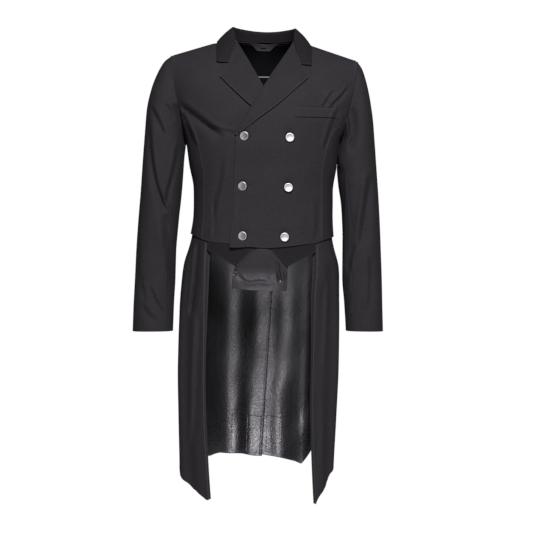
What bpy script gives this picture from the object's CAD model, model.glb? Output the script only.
# %% [markdown]
# # A dressage tailcoat
# The coat is a hollow shape that hangs as if somebody wore it: a short double-breasted body, lapels and a
# collar, two-piece sleeves, and two long tails with a glossy lining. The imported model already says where
# every piece of cloth is. This lesson dresses each of them: it makes the same sheets again, finer, lays
# folds in them, sews their edges and gives them their finishes.
#
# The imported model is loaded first, and its box is kept, because the dressed coat has to stay inside it.

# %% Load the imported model
import math

import bmesh
import bpy
import numpy as np
from mathutils import Matrix, Vector


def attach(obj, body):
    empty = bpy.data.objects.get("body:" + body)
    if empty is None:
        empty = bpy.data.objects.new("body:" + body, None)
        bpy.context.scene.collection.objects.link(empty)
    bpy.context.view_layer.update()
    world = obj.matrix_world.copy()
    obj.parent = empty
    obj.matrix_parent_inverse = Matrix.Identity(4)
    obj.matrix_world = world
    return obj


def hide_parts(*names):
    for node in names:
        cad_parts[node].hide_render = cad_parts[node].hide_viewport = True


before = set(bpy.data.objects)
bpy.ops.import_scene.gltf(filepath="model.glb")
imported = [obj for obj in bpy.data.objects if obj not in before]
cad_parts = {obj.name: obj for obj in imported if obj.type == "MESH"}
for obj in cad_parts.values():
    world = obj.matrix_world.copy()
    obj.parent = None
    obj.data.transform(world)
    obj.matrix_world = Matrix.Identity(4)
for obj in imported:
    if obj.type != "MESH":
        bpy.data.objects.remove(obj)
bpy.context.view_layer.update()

print("packed nodes:", len(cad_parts))

# %% [markdown]
# ## The pattern
# A tailor writes sizes in millimetres, so the pattern below does too, and MM turns them into Blender's
# metres only where a mesh is made. Charts with named columns hold what changes along the coat: its girth,
# the armholes, the curved seams, the lapels, the collar and the sleeves.

# %% Driving sizes
MM = 0.001
CLOTH = 1.6
LINING = 1.0
SEAM = 0.04
LAYER = CLOTH + 0.7
ROUNDNESS = 2.3

NECK_HALF, NECK_Z, NECK_BACK_Z, NECK_RISE = 72, -2, 2, 14
SHOULDER_HALF, SHOULDER_Z = 214, -47
RIDGE_ROUND = 90
ARMPIT_Z = -245
WAIST_SIDE_Z, WAIST_DIP, WAIST_BACK_Z, WAIST_HALF = -460, 31, -456, 166
EDGE_TOP, EDGE_HEM = -60, -67.5
BREAK_Z = -233
GORGE_X, GORGE_Z = 67.5, -10.5
LAP_DROP, LAP_FLARE, LAP_SLANT, EDGE_FLARE = 7, 3.5, 2.6, 2.4


def chart(columns, *rows):
    """A table with named columns, each an array."""
    return {name: np.array(values, float) for name, values in zip(columns.split(), zip(*rows))}


RINGS = chart(
    "z half front back",
    (40, 247, 26, 98),
    (-20, 243, 42, 102),
    (-60, 237, 68, 106),
    (-110, 226, 98, 113),
    (-160, 212, 115, 118),
    (-205, 197, 121, 118),
    (-245, 180, 121, 115),
    (-300, 171.5, 117, 107),
    (-355, 161.8, 111, 99),
    (-400, 161.3, 107, 95),
    (-458, 164.8, 105, 95),
    (-500, 173.5, 104, 99),
    (-554, 182, 103, 107),
    (-640, 187, 101, 117),
    (-760, 188, 98, 123),
    (-880, 184.5, 94, 126),
    (-1000, 179.5, 90, 127),
    (-1090, 177, 88, 127),
)
ARMHOLE = chart(
    "z front back",
    (-47, 214, 214),
    (-80, 211, 213),
    (-125, 204, 210),
    (-165, 196, 204),
    (-205, 189.5, 194.5),
    (-235, 183.2, 184),
    (-245, 180, 180),
)
CURVED_SEAMS = chart(
    "z front back",
    (-180, 192, 200),
    (-217, 161, 172),
    (-283, 141, 138),
    (-337, 134, 118),
    (-402, 134.5, 108),
    (-490, 136, 104),
)
LAPEL = chart(
    "along wide",
    (0, 3),
    (18, 11.5),
    (47, 22.5),
    (96, 43.5),
    (150, 61.6),
    (188, 72.2),
    (193.5, 73.4),
    (199, 64.5),
    (215.5, 38),
    (236, 19),
    (256, 2),
)
HEMS = {
    "left": chart(
        "turn z",
        (40, -1071), (42, -1064), (44, -1056), (47, -1049), (50, -1043), (53, -1038), (58, -1031),
        (63, -1018), (68, -1003), (75, -994), (90, -988), (104, -983), (120, -972), (134, -958),
        (137, -964), (142.5, -986), (146.5, -1001), (152, -996), (161, -993), (168, -990), (180, -985),
    ),
    "right": chart(
        "turn z",
        (40, -1076), (43, -1078), (46, -1073), (50, -1067), (55, -1060), (60, -1055), (66, -1044),
        (75, -1033), (90, -1012), (104, -1004), (120, -1001), (134, -999), (145, -996), (150, -991),
        (154, -988.5), (161, -989.5), (168, -988), (180, -985),
    ),
}
FLUTES = chart(
    "turn half deep start full",
    (61, 11, -4.5, -480, -560),
    (75, 10, 3, -500, -700),
    (105, 14, 4, -520, -900),
    (122, 11, -5, -520, -860),
)
DRAPES = {
    "left": chart(
        "x high low",
        (0, 0, 0), (8, 0.4, 0), (16, 0.8, 0.1), (24, 1.3, 0.4), (32, 2, 1.1), (40, 3.7, 2.5), (48, 6.1, 3.9),
        (56, 8.4, 4.7), (64, 10, 4.7), (72, 11.2, 4), (80, 11.7, 3.1), (88, 11.5, 2.5), (96, 11.4, 2.6),
        (104, 12.1, 4), (112, 13.2, 6.2), (120, 12.6, 7), (134, 6, 4.5), (150, 0, 0),
    ),
    "right": chart(
        "x high low",
        (0, 0, 0), (8, 1.2, 0), (16, 3.8, 0.3), (24, 6.9, 1.7), (32, 10.2, 4.4), (40, 13.3, 7.7),
        (48, 15.5, 9.8), (56, 16.5, 10.8), (64, 16.7, 11), (72, 16.4, 11), (80, 15, 10), (96, 11, 7),
        (112, 6, 3.5), (130, 0, 0),
    ),
}
print("charts:", len(RINGS["z"]), "rings,", len(FLUTES["turn"]), "flutes")

# %% [markdown]
# ## Reading a chart
# Between two rows of a chart the cloth runs on smoothly. A plain straight line would show every row as a
# kink, and a spline would bulge past the rows. The harmonic mean of the slopes on both sides gives a
# smooth line that never overshoots, and NumPy reads it for a whole grid of points at once.


# %% Small mathematics
def lerp(a, b, t):
    return a + (b - a) * t


def smooth(v, start, end):
    """0 at start and 1 at end, with no corner at either."""
    u = np.clip((v - start) / (end - start), 0, 1)
    return u * u * (3 - 2 * u)


def read(rows, key, column, at):
    """Reads a chart's column at values of its key."""
    order = np.argsort(rows[key])
    keys, values = rows[key][order], rows[column][order]
    steps = np.diff(keys)
    rise = np.diff(values) / steps
    product = rise[1:] * rise[:-1]
    total = np.where(product > 0, rise[1:] + rise[:-1], 1)
    inner = np.where(product > 0, 2 * product / total, 0)
    slopes = np.concatenate([rise[:1], inner, rise[-1:]])
    at = np.clip(at, keys[0], keys[-1])
    i = np.clip(np.searchsorted(keys, at, side="right") - 1, 0, len(steps) - 1)
    t = (at - keys[i]) / steps[i]
    a, b = values[i], values[i + 1]
    da, db = slopes[i] * steps[i], slopes[i + 1] * steps[i]
    return a + t * da + t * t * (3 * (b - a) - 2 * da - db) + t**3 * (2 * (a - b) + da + db)


def unit(v):
    return v / np.maximum(np.linalg.norm(v, axis=-1, keepdims=True), 1e-9)


print("half the waist:", round(float(read(RINGS, "z", "half", -400.0)), 1), "mm")

# %% [markdown]
# ## The form
# Everything hangs on one form: rings that are a little squarer than an ellipse, closed towards the
# shoulders by a rounding. A place on it is given by its turn (0 is the front, 90 the wearer's left, 180
# the back) and by its height. The same form carries body, lapels, collar and tails, so the layers keep
# their distance.


# %% The form's functions
def ridge(x):
    """Height of the shoulder line, carried on inside the neck."""
    across = np.abs(x)
    fall = (SHOULDER_Z - NECK_Z) / (SHOULDER_HALF - NECK_HALF)
    inside = np.where(across < NECK_HALF, NECK_RISE * (1 - (across / NECK_HALF) ** 2), 0)
    return NECK_Z + fall * (across - NECK_HALF) + inside


def turn_at(x, z, back=False):
    share = np.clip(np.abs(x) / read(RINGS, "z", "half", z), 0, 1) ** (ROUNDNESS / 2)
    turn = np.degrees(np.arcsin(share))
    return np.where(np.asarray(x) < 0, -1, 1) * np.where(back, 180 - turn, turn)


def form(turn, z):
    turn, z = np.broadcast_arrays(np.asarray(turn, float), np.asarray(z, float))
    sine, cosine = np.sin(np.radians(turn)), np.cos(np.radians(turn))
    power = 2 / ROUNDNESS
    x = read(RINGS, "z", "half", z) * np.sign(sine) * np.abs(sine) ** power
    low = np.clip((ridge(x) - z) / RIDGE_ROUND, 0, 1)
    rounding = (1 - (1 - low) ** 2.2) ** (1 / 2.2)
    depth = np.where(cosine > 0, -read(RINGS, "z", "front", z), read(RINGS, "z", "back", z))
    return np.stack([x, depth * np.abs(cosine) ** power * rounding, z], -1)


def out_from(turn, z, lift):
    """A point of the form moved out along the form's own direction there."""
    across = form(turn + 0.05, z) - form(turn - 0.05, z)
    up = form(turn, z + 0.2) - form(turn, z - 0.2)
    return form(turn, z) + unit(np.cross(across, up)) * np.asarray(lift, float)[..., None]


def on_form(x, z, lift, back=False):
    return out_from(turn_at(x, z, back), z, lift)


def facing(surface, s, t):
    """The outward direction of a surface of two parameters."""
    step = 1e-3
    s0, s1 = np.maximum(s - step, 0), np.minimum(s + step, 1)
    t0, t1 = np.maximum(t - step, 0), np.minimum(t + step, 1)
    return unit(np.cross(surface(s1, t) - surface(s0, t), surface(s, t1) - surface(s, t0)))


def lifted(surface, lift):
    return lambda s, t: surface(s, t) + facing(surface, s, t) * np.asarray(lift, float)[..., None]


def mirrored(surface):
    return lambda s, t: surface(1 - s, t) * np.array([-1, 1, 1])


print("front of the chest:", form(0.0, -205.0).round(1))

# %% [markdown]
# ## The body's panels
# A panel is a sheet between guide lines, such as the front edge and the curved seam. Its rows run from
# the hem to the shoulder. The left front laps over the right one, so it's lifted off it, and more where
# the right lapel lies beneath.


# %% Panels of the body
JOIN, SEAM_FOOT_Z = 0.68, -480.0


def waist(x, back):
    middle = 1 - np.clip(np.abs(x) / WAIST_HALF, 0, 1) ** 2
    front_z = WAIST_SIDE_Z - WAIST_DIP * middle
    return np.where(back, lerp(WAIST_SIDE_Z, WAIST_BACK_Z, middle), front_z)


def meet(turn, edge):
    """The height at which a line of equal turn meets an edge."""
    z = np.full(np.shape(turn), -250.0)
    for _ in range(12):
        z = edge(form(turn, z)[..., 0])
    return z


def panel(guides, back):
    """Each guide is x at its foot, x at its top, and x between them as a function of height."""

    def foot(x):
        return waist(x, back)

    def top(x):
        neckline = lerp(NECK_BACK_Z, NECK_Z, (x / NECK_HALF) ** 2)
        return np.where(back & (np.abs(x) < NECK_HALF), neckline, ridge(x))

    def line(guide, t):
        start, end, between = guide
        high = top(end)
        z = lerp(foot(between(foot(start))), high, t)
        turn = np.where(t >= 1, turn_at(end, high, back), turn_at(between(z), z, back))
        return np.where(back & (turn < 0), turn + 360, turn)

    def surface(s, t):
        s, t = np.broadcast_arrays(np.asarray(s, float), np.asarray(t, float))
        place = s * (len(guides) - 1)
        span = np.clip(np.floor(place), 0, len(guides) - 2)

        def turn_of(row):
            lines = [line(guide, row) for guide in guides]
            spans = [lerp(lines[i], lines[i + 1], place - i) for i in range(len(guides) - 1)]
            return np.choose(span.astype(int), spans)

        ends = [meet(turn_of(np.zeros_like(t)), foot), meet(turn_of(np.ones_like(t)), top)]
        return form(turn_of(t), lerp(ends[0], ends[1], t))

    return surface


def side_name(back):
    return "back" if back else "front"


def join_z(back):
    """The height at which the curved seam reaches the armhole."""
    seam_x = read(CURVED_SEAMS, "z", side_name(back), SEAM_FOOT_Z)
    return float(lerp(waist(seam_x, back), SHOULDER_Z, JOIN))


def outer_edge(back):
    """x of a panel's outer edge: the curved seam below the join, the armhole above it."""
    column, join = side_name(back), join_z(back)

    def edge(z):
        below = read(CURVED_SEAMS, "z", column, z)
        blended = lerp(below, read(ARMHOLE, "z", column, join), smooth(z, join - 60, join) ** 3)
        return np.where(z >= join - 1e-6, read(ARMHOLE, "z", column, z), blended)

    return edge


def front_edge(z):
    roll = lerp(EDGE_TOP, GORGE_X, (z - BREAK_Z) / (GORGE_Z - BREAK_Z))
    hem = waist(0, False)
    straight = lerp(EDGE_HEM, EDGE_TOP, (z - hem) / (BREAK_Z - hem))
    return np.where(z < BREAK_Z, straight, np.minimum(roll, NECK_HALF))


front_surface = panel([(EDGE_HEM, NECK_HALF, front_edge), (136, SHOULDER_HALF, outer_edge(False))], False)
back_surface = panel(
    [
        (104, SHOULDER_HALF, outer_edge(True)),
        (48, NECK_HALF, lambda z: lerp(48, NECK_HALF, smooth(z, -470, -60))),
        (0, 0, lambda z: np.zeros_like(z)),
    ],
    True,
)


def lap_lift(p):
    """Lift of the front that laps over the other."""
    over = smooth(p[..., 0], 132, 60) * smooth(p[..., 2], -40, -124)
    lapel = smooth(p[..., 2], BREAK_Z - 75, BREAK_Z - 12)
    return over * (LAYER + 0.2 + (LAYER + 2) * lapel)


def on_left_front(x, z, lift):
    return on_form(x, z, lift + lap_lift(form(turn_at(x, z), z)))


def lap_flare(p):
    """How far the lap stands off at its lower corner and along its edge."""
    corner = LAP_FLARE * smooth(p[..., 2], -400, -492) * smooth(p[..., 0], -5, -60)
    from_edge = p[..., 0] - front_edge(p[..., 2])
    return corner + EDGE_FLARE * smooth(from_edge, 16, 0) * smooth(p[..., 2], BREAK_Z, BREAK_Z - 40)


def front_left(s, t):
    p = lifted(front_surface, lap_lift(front_surface(s, t)))(s, t)
    p[..., 1] -= lap_flare(p)
    p[..., 2] -= LAP_DROP * smooth(p[..., 0], -20, -68) * smooth(t, 0.14, 0)
    p[..., 0] -= LAP_SLANT * smooth(p[..., 0], -50, -67) * smooth(t, 0.14, 0)
    return p


def both_backs(s, t):
    """The backs as one sheet, from the wearer's left armhole to the right."""
    left = back_surface(np.clip(2 * s, 0, 1), t)
    right = mirrored(back_surface)(np.clip(2 * s - 1, 0, 1), t)
    return np.where((s <= 0.5)[..., None], left, right)


def armhole_height(turn):
    back = turn > 90
    low, high = np.full(turn.shape, float(ARMPIT_Z)), np.where(back, join_z(True), join_z(False))
    for _ in range(40):
        z = (low + high) / 2
        edge_x = np.where(back, read(ARMHOLE, "z", "back", z), read(ARMHOLE, "z", "front", z))
        here = turn_at(edge_x, z, back)
        too_high = np.where(back, here > turn, here < turn)
        low, high = np.where(too_high, low, z), np.where(too_high, z, high)
    return (low + high) / 2


def side_surface(s, t):
    """The panel under the arm, from seam to seam."""

    def turn_of(back, row):
        seam_x = read(CURVED_SEAMS, "z", side_name(back), SEAM_FOOT_Z)
        z = lerp(waist(seam_x, back), join_z(back), row)
        return turn_at(outer_edge(back)(z), z, back)

    s, t = np.broadcast_arrays(np.asarray(s, float), np.asarray(t, float))
    ends = [waist(read(CURVED_SEAMS, "z", side_name(back), SEAM_FOOT_Z), back) for back in (False, True)]
    foot = lerp(ends[0], ends[1], s)
    level = foot + (WAIST_SIDE_Z + 1 - foot) * np.sin(np.pi * s)
    one = np.ones_like(t)
    top = armhole_height(lerp(turn_of(False, one), turn_of(True, one), s))
    return form(lerp(turn_of(False, t), turn_of(True, t), s), lerp(level, top, t))


print("left front's top corner:", front_left(np.array(0.0), np.array(1.0)).round(1))

# %% [markdown]
# ## Lapels and collar
# A lapel is measured along its roll line and square to it, as it's drafted on paper. Its cloth comes
# round the front's edge in a tight fold and lies back on the chest. The collar has a fall that lies
# outside and a stand that follows the neck, and both share one line of stations round the neck.

# %% Lapels and collar
ROLL_LENGTH = math.hypot(GORGE_X - EDGE_TOP, GORGE_Z - BREAK_Z)
ALONG_X, ALONG_Z = (GORGE_X - EDGE_TOP) / ROLL_LENGTH, (GORGE_Z - BREAK_Z) / ROLL_LENGTH
FOLD_RADIUS, FOLD_CENTRE, FOLD_FROM, FOLD_SHARE = 3.2, 0.6, 200, 0.16
LAPEL_LIFT, EDGE_RISE = LAYER + 0.4, 3.6


def lapel_on(front):
    def surface(s, t):
        along = t * ROLL_LENGTH
        wide = read(LAPEL, "along", "wide", along)
        turned = np.radians(lerp(FOLD_FROM, 90, np.clip(s / FOLD_SHARE, 0, 1)))
        flat = np.clip((s - FOLD_SHARE) / (1 - FOLD_SHARE), 0, 1)
        across = FOLD_CENTRE + FOLD_RADIUS * np.cos(turned) + flat * np.maximum(wide - FOLD_CENTRE, 1.5)
        belly = 1.2 * np.sin(np.pi * flat) * np.minimum(wide / 65, 1) ** 3
        rest = lerp(FOLD_RADIUS, LAPEL_LIFT, np.sqrt(flat)) + belly
        rest = rest + EDGE_RISE * smooth((1 - flat) * wide, 16, 0) * smooth(wide, 8, 26)
        lift = 0.1 * (1 - flat) + np.where(flat > 0, rest, FOLD_RADIUS * np.sin(turned))
        x = EDGE_TOP + ALONG_X * along + ALONG_Z * across
        z = BREAK_Z + ALONG_Z * along - ALONG_X * across
        return front(x, z, lift)

    return surface


LEFT_COLLAR = chart(
    "sx sy sz cx cy cz ex ez side up",
    (62, -15.5, -13, 66.6, -22.2, -4.4, 79.5, -70, -1, 2),
    (65.5, -8.5, -0.5, 67.5, -16, 6, 107.5, -71, -1, 3.5),
    (67.5, -2.5, 2, 68.6, -7, 18, 109, -46, -1, 2),
    (67.8, 3, 2, 69.6, 0, 24, 109.3, -28, -1, 1.6),
    (68, 9, 2, 70.3, 8, 27.5, 108.5, -15, 0, 0),
    (67.2, 17, 0.5, 69.3, 16, 28.6, 106.5, -18.5, 1, 1.2),
    (65, 25.5, 0, 67, 25, 29, 102, -20.5, 1, 0),
    (57, 42, 0.5, 57, 43, 29, 85, -22, 1, 0),
    (40, 59.5, 1, 40, 57, 28, 60, -24, 1, 0),
    (20, 71.5, 1.5, 20, 66, 27, 29, -25, 1, 0),
    (0, 75.5, 1.5, 0, 69, 26.6, 0, -25, 1, 0),
)
RIGHT_COLLAR = chart(
    "sx sy sz cx cy cz ex ez side up",
    (63, -15.5, -13, 67.6, -22.2, -3.4, 80.5, -67, -1, 2),
    (68.5, -8.5, -0.5, 70.5, -16, 6, 109.5, -68, -1, 3.5),
    (72, -2.5, 2, 73.6, -7, 18, 111, -42, -1, 2),
    (73, 3, 2, 75.3, 0, 24.4, 112.3, -24, -1, 1.6),
    (73.5, 9, 2, 76, 8, 28, 112.5, -11, 0, 0),
    (72.3, 17, 0.5, 74.6, 16, 29, 110.5, -16.5, 1, 1.2),
    (69.5, 25.5, 0, 71.5, 25, 29.2, 106, -19.5, 1, 0),
    (60, 42, 0.5, 60, 43, 29, 88, -22, 1, 0),
    (42, 59.5, 1, 42, 57, 28, 62, -24, 1, 0),
    (21, 71.5, 1.5, 21, 66, 27, 30, -25, 1, 0),
    (0, 75.5, 1.5, 0, 69, 26.6, 0, -25, 1, 0),
)
COLLAR_ROLL = 2.6
COLLAR_FOLD = 0.84


def whole_collar(left, right):
    """Both halves of the collar, with its outer edge laid on the coat."""
    rows = {}
    for name, values in left.items():
        other = right[name][:-1][::-1] * (-1 if name in ("sx", "cx", "ex") else 1)
        rows[name] = np.concatenate([values, other])
    rows["step"] = np.arange(len(rows["sx"]), dtype=float)
    on_front, on_back = rows["side"] < 0, rows["side"] > 0
    lap = lap_lift(form(turn_at(rows["ex"], rows["ez"]), rows["ez"]))
    lift = LAYER + 0.3 + rows["up"] + np.where(on_front & (rows["ex"] > 0), lap, 0)
    edge = on_form(rows["ex"], rows["ez"], lift, on_back)
    on_ridge = rows["side"] == 0
    rows["ex"] = np.where(on_ridge, rows["ex"], edge[:, 0])
    rows["ey"] = np.where(on_ridge, 3, edge[:, 1])
    rows["ez"] = np.where(on_ridge, rows["ez"], edge[:, 2])
    return rows


COLLAR = whole_collar(LEFT_COLLAR, RIGHT_COLLAR)


def collar_frame(s):
    step = s * (len(COLLAR["step"]) - 1)
    seam, crest, edge = [
        np.stack([read(COLLAR, "step", line + axis, step) for axis in "xyz"], -1) for line in "sce"
    ]
    out = edge - crest
    drop = -out[..., 2]
    out[..., 2] = 0
    centre = crest - np.array([0, 0, COLLAR_ROLL])
    return seam, edge, centre, np.arctan2(np.linalg.norm(out, axis=-1), drop), unit(out)


def fall_surface(s, t):
    """From the collar's outer edge up to the crest and over it."""
    _, edge, centre, slope, out = collar_frame(s)

    def around(angle):
        p = centre + out * (COLLAR_ROLL * np.cos(angle))[..., None]
        p[..., 2] += COLLAR_ROLL * np.sin(angle)
        return p

    up = np.clip(t / COLLAR_FOLD, 0, 1)
    belly = 2.6 * np.sin(np.pi * up)
    flat = lerp(edge, around(slope), up[..., None]) + out * (belly * np.cos(slope))[..., None]
    flat[..., 2] += belly * np.sin(slope)
    rolled = around(lerp(slope, np.pi, np.clip((t - COLLAR_FOLD) / (1 - COLLAR_FOLD), 0, 1)))
    return np.where((t >= COLLAR_FOLD)[..., None], rolled, flat)


def stand_surface(s, t):
    """From the fold down to the neck seam; the outer side faces the neck."""
    seam, _, centre, _, out = collar_frame(s)
    top = centre - out * COLLAR_ROLL - np.array([0, 0, 0.8])
    return lerp(top, seam, np.asarray(t)[..., None])


print("collar stations:", len(COLLAR["step"]), " roll line:", round(ROLL_LENGTH), "mm")

# %% [markdown]
# ## Sleeves
# A sleeve is a chart of ovals seen from the front: the outermost and innermost point of each, its half
# depth and how far it swings forward. The first ovals are pulled onto the armhole, so that the sleeve is
# sewn in.

# %% Sleeves
SLEEVES = {
    "right": chart(
        "ox oz ix iz deep shift",
        (214, -47, 180.5, -245.5, 54, 4),
        (232.75, -61, 180.375, -250, 58, 3),
        (250.5, -91, 180.75, -256, 62, 2),
        (264.25, -128, 181.625, -265, 66, 1),
        (273, -172, 183, -278, 69, 0),
        (276.5, -232, 185, -306, 70, -2),
        (280, -300, 187.5, -346, 68, -4),
        (283, -370, 190, -393, 65, -7),
        (287, -436, 193.3, -442, 61, -12),
        (289.5, -504, 196.8, -504, 56, -18),
        (290.5, -568, 197, -567, 51, -25),
        (292, -630, 198.5, -628, 47, -31),
        (292.5, -688, 199, -685.5, 44, -36),
    ),
    "left": chart(
        "ox oz ix iz deep shift",
        (214, -47, 180.5, -245.5, 54, 4),
        (227.05, -64, 183.25, -250, 58, 3),
        (239.1, -98, 183.5, -256, 62, 2),
        (248.65, -140, 181.25, -265, 66, 1),
        (256.2, -188, 177, -278, 69, 0),
        (260.7, -236, 172.6, -300, 70, -2),
        (266.2, -298, 174.5, -336, 68, -4),
        (271.7, -362, 180.2, -382, 65, -7),
        (276.2, -428, 184, -436, 61, -12),
        (279.7, -495, 186.5, -496, 56, -18),
        (282.7, -558, 190.5, -557, 51, -25),
        (284.7, -618, 196.5, -616, 47, -31),
        (287.2, -676, 201, -677, 44, -36),
    ),
}
SLEEVE_ROUNDNESS = 2.2
UNDER_FROM, UNDER_TO = 122, 238
SEWN_STEPS = 3.2


def armhole_point(around):
    middle, reach = (SHOULDER_Z + ARMPIT_Z) / 2, (SHOULDER_Z - ARMPIT_Z) / 2
    z = middle + reach * np.cos(np.radians(around))
    back = around > 180
    edge_x = np.where(back, read(ARMHOLE, "z", "back", z), read(ARMHOLE, "z", "front", z))
    return form(turn_at(edge_x, z, back), z)


def sleeve_surface(hand, start, end):
    """A piece of a sleeve between two turns round it, from the armhole (t 0) to the cuff (t 1)."""
    last = len(SLEEVES[hand]["ox"]) - 1
    rows = dict(SLEEVES[hand], step=np.arange(last + 1.0))
    power = 2 / SLEEVE_ROUNDNESS

    def oval(around, step):
        cosine, sine = np.cos(np.radians(around)), np.sin(np.radians(around))
        out = (1 + np.sign(cosine) * np.abs(cosine) ** power) / 2
        fore = np.sign(sine) * np.abs(sine) ** power
        at = {name: read(rows, "step", name, step) for name in SLEEVES[hand]}
        x, z = lerp(at["ix"], at["ox"], out), lerp(at["iz"], at["oz"], out)
        return np.stack([x, at["shift"] - at["deep"] * fore, z], -1)

    def surface(s, t):
        s, t = np.broadcast_arrays(np.asarray(s, float), np.asarray(t, float))
        step, around = t * last, np.mod(lerp(start, end, s) + 360, 360)
        sewn = armhole_point(around) - oval(around, np.zeros_like(step))
        return oval(around, step) + sewn * (1 - smooth(step, 0, SEWN_STEPS))[..., None]

    return surface


print("left cuff's width:", SLEEVES["left"]["ox"][-1] - SLEEVES["left"]["ix"][-1], "mm")

# %% [markdown]
# ## Tails
# The tails hang from behind the waist hem. Each is two sheets, one at the side and one at the back, and
# the left one laps over the right one at the vent. Flutes run down them and open towards the hem. The
# lining uses the same functions with a smaller lift, which is the surest way to keep two layers from
# cutting each other.

# %% Tails
TUCK_IN, TUCK_OVER, TUCK_UP = LAYER + 1.7, 70, 8
VENT_EDGE, VENT_UNDER, VENT_DROP = 18, 24, 5
TAIL_HEAD_Z, TAIL_FOOT_Z = -470.0, -1010.0
TAIL_WAIST, TAIL_HEM, TAIL_SWAY, TAIL_TILT, SWAY_FROM = 128, 122.5, 16, 6, -780
SIDE_BACK_TURN = 134
LINED = -(CLOTH + 0.5)
NAMES = {1: "left", -1: "right"}
INSIDE = -(CLOTH + LINING + 1.5)


def flute(turn, z):
    folded = np.where(turn > 180, 360 - turn, turn)
    total = 0
    for at, half, deep, start, full in zip(*FLUTES.values()):
        near = np.clip(1 - ((folded - at) / half) ** 2, 0, 1) ** 2
        total = total + deep * near * smooth(z, start, full)
    return total


def drape(turn, z, side):
    """The deep soft folds of a tail's back, which open towards the hem."""
    x = np.maximum(form(turn, z)[..., 0], 0)
    rows = DRAPES[NAMES[side]]
    folds = lerp(read(rows, "x", "high", x), read(rows, "x", "low", x), smooth(z, -660, -900))
    return folds * smooth(z, -440, -640) * smooth(turn, 124, 136)


def hem_z(turn, side):
    """The hem has corners, so its chart is read with straight lines."""
    tilt = TAIL_TILT * np.clip(np.sin(np.radians(turn)) / 0.65, 0, 1)
    drop = VENT_DROP * smooth(turn, 170, 180) if side < 0 else 0
    hem = HEMS[NAMES[side]]
    return np.interp(np.minimum(turn, 180), hem["turn"], hem["z"]) - side * tilt - drop


def tail_point(turn, z, side, lift):
    tuck = TUCK_IN * smooth(z, WAIST_SIDE_Z - TUCK_OVER, WAIST_SIDE_Z - 25)
    p = out_from(turn, z, lift - tuck + flute(turn, z) + drape(turn, z, side))
    swing = TAIL_SWAY * np.clip((SWAY_FROM - z) / 295, 0, 1) ** 1.6
    p[..., 0] += side * swing * smooth(turn, 90, 42)
    return p


def tail_surface(side, start, end, lift):
    def surface(s, t):
        s, t = np.broadcast_arrays(np.asarray(s, float), np.asarray(t, float))
        head = lerp(start(TAIL_HEAD_Z), end(TAIL_HEAD_Z), s)
        foot = lerp(start(TAIL_FOOT_Z), end(TAIL_FOOT_Z), s)
        high = waist(form(head, TAIL_HEAD_Z)[..., 0], head > 90) + TUCK_UP
        z = lerp(hem_z(foot, side), high, t)
        turn = lerp(start(z), end(z), s)
        return tail_point(turn, z, side, lift(turn))

    return surface


def edge_turn(z):
    return turn_at(lerp(TAIL_WAIST, TAIL_HEM, np.clip((WAIST_SIDE_Z - z) / 600, 0, 1)), z)


def across_turn(x, z):
    return 180 - np.sign(x) * turn_at(np.abs(x), z)


def seam_turn(z):
    return np.full(np.shape(z), float(SIDE_BACK_TURN))


def tail_side(side, lift=0.0):
    return tail_surface(side, edge_turn, seam_turn, lambda turn: lift)


def vent_at(side, z):
    """The vent's edge. The one that's seen from within slants a little."""
    return VENT_EDGE - VENT_UNDER if side > 0 else -lerp(13, 30, np.clip((z + 990) / 400, 0, 1))


def tail_back(side, lift=0.0):
    def lift_at(turn):
        return lift + (0 if side > 0 else INSIDE * smooth(turn, 156, 172))

    return tail_surface(side, seam_turn, lambda z: across_turn(vent_at(side, z), z), lift_at)


print("a tail's length:", round(float(WAIST_SIDE_Z - HEMS["left"]["z"][0])), "mm")

# %% [markdown]
# ## Folds
# Worn cloth breaks into folds at the armhole, the elbow and the cuff, and the tails hang in long ones. A
# fold is drawn as a line in the front view, with a width and a depth. It could be a displacement on each
# mesh, but then a pocket or a lining would cut through the sheet it lies on. Here a fold bends the space
# instead: every layer at that place moves by the same amount, so all layers keep their order.


# %% Bending space by folds
def fold(wide, deep, lean, *points):
    """A trough along a line of (x, z) places. lean raises a ridge on one side, or if negative the other."""
    line = np.array(points, float)
    for _ in range(2):
        a, b = line[:-1], line[1:]
        corners = np.stack([lerp(a, b, 0.25), lerp(a, b, 0.75)], 1).reshape(-1, 2)
        line = np.concatenate([line[:1], corners, line[-1:]])
    return {"wide": wide, "deep": deep, "lean": lean, "line": line}


FOLD_GAIN, STEEP, GENTLE, RIDGE_AT, LEAN_SHIFT = 2.1, 1.5, 0.75, 1.7, 0.7


def relief(x, z, folds):
    """Millimetres by which folds move the cloth out. A fold is steep towards its ridge and gentle behind."""
    total = np.zeros(x.shape)
    for one in folds:
        a, b = one["line"][:-1], one["line"][1:]
        run = b - a
        gap = np.stack([x, z], -1)[..., None, :] - a
        share = np.clip((gap * run).sum(-1) / (run**2).sum(-1), 0, 1)
        gap = gap - share[..., None] * run
        far = np.linalg.norm(gap, axis=-1)
        near = far.argmin(-1)[..., None]
        side = np.sign(run[:, 0] * gap[..., 1] - run[:, 1] * gap[..., 0])
        far, side, share = [np.take_along_axis(v, near, -1)[..., 0] for v in (far, side, share)]
        along = (near[..., 0] + share) / len(run)
        fade = smooth(along, -0.02, 0.3) * smooth(along, 1.02, 0.7)
        across = side * np.sign(one["lean"] + 1e-9) * far / one["wide"]
        across += LEAN_SHIFT * (one["lean"] != 0)
        across *= np.where(across > 0, STEEP, GENTLE)
        raised = abs(one["lean"]) * np.exp(-((across - RIDGE_AT) ** 2))
        hollow = 0.6 * np.exp(-(across**2)) + 0.4 * np.exp(-np.sqrt(across**2 * 6 + 0.15))
        total += FOLD_GAIN * one["deep"] * fade * (raised - hollow)
    return total


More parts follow.
